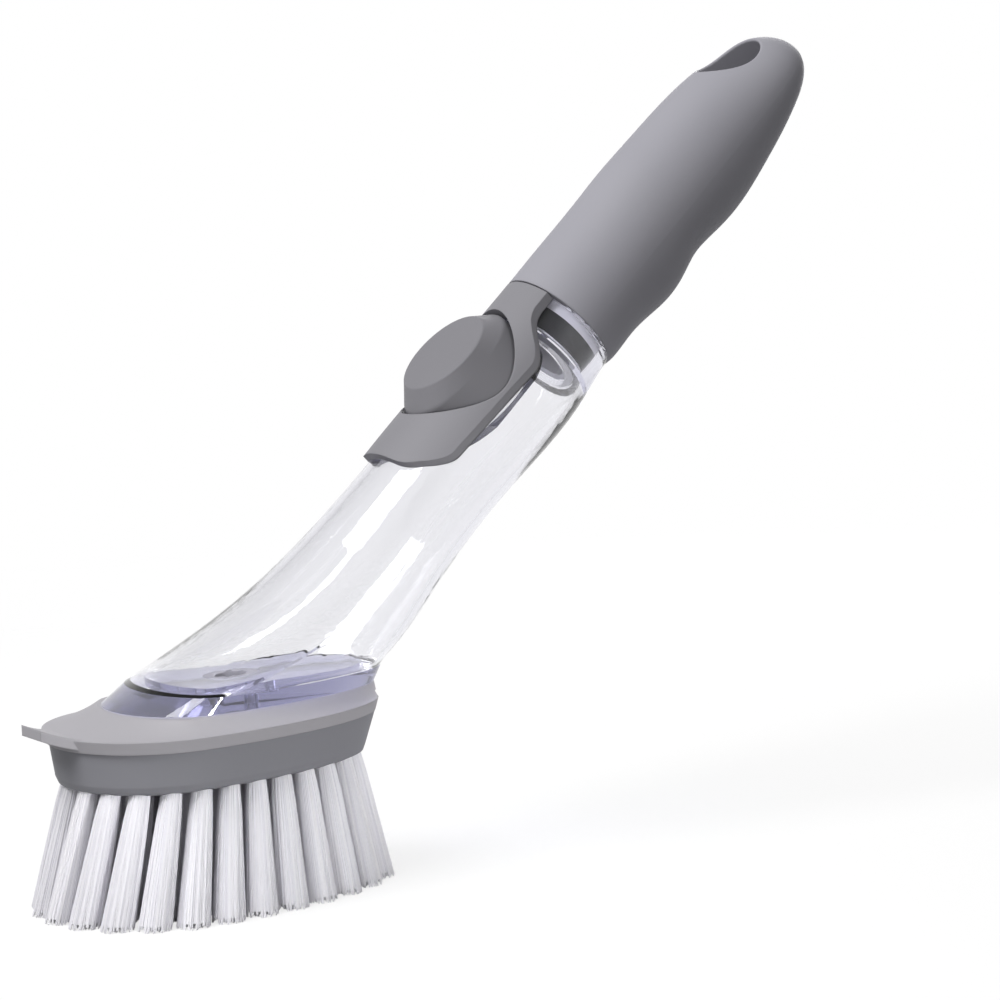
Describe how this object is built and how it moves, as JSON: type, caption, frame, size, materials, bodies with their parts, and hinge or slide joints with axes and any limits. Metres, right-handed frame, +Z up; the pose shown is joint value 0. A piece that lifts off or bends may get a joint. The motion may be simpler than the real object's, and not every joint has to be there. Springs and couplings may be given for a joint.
{
  "type": "soap dispensing dish wand",
  "caption": "Dish brush with a clear soap reservoir for a neck, a press-button pump, a screw-off hollow handle with a hang hole, and a slide-off egg-shaped bristle head with a pull lip.",
  "frame": {"origin": "on the plane of the bristle tips, at the middle of the tip face of the inner tuft under the middle of the head", "axes": "+X from the toe of the head with its lip to its heel and the handle, +Y across the head, +Z up from the bristle tips"},
  "size_m": [0.2467, 0.0695, 0.2198],
  "materials": {
    "clear_plastic": "clear, polished",
    "handle_plastic": "fine satin",
    "grey_plastic": "satin",
    "natural_plastic": "milky, satin",
    "head_plastic": "satin",
    "block_plastic": "satin",
    "bristle_nylon": "nylon filament",
    "black_rubber": "matt",
    "silicone": "translucent, matt",
    "staple_metal": "plain wire"
  },
  "bodies": {
    "wand": {"reservoir_shell": "clear_plastic", "reservoir_base": "clear_plastic", "outlet_valve": "silicone", "valve_retainer": "grey_plastic", "button_housing": "grey_plastic", "pump_bellows": "silicone", "bellows_ring": "grey_plastic", "air_valve": "silicone"},
    "button": {"button_cap": "grey_plastic", "button_core": "grey_plastic"},
    "seal": {"neck_seal": "black_rubber"},
    "handle": {"handle_shell": "handle_plastic", "threaded_plug": "natural_plastic"},
    "head": {"head_plate": "head_plastic", "bristle_block": "block_plastic", "outer_tufts": "bristle_nylon", "middle_tufts": "bristle_nylon", "inner_tufts": "bristle_nylon", "tuft_staples": "staple_metal", "port_seal": "silicone"}
  },
  "joints": [
    {"name": "button_press", "type": "slide", "parent": "wand", "child": "button", "axis": [0.6756, 0, -0.7373], "range_m": [0, 0.0035], "stiffness_N_per_m": 1500, "deforming": ["pump_bellows"]},
    {"name": "handle_lift", "type": "slide", "parent": "wand", "child": "seal", "axis": [0.7373, 0, 0.6756], "range_m": [0, 0.006]},
    {"name": "handle_unscrew", "type": "hinge", "parent": "seal", "child": "handle", "pos_m": [0.1112, 0, 0.1424], "axis": [0.7373, 0, 0.6756], "range_deg": [0, 540]},
    {"name": "head_slide", "type": "slide", "parent": "wand", "child": "head", "axis": [-1, 0, 0], "range_m": [0, 0.066]}
  ],
  "couplings": [
    {"joint": "handle_unscrew", "follows": "handle_lift", "rad_per_m": 1570}
  ]
}
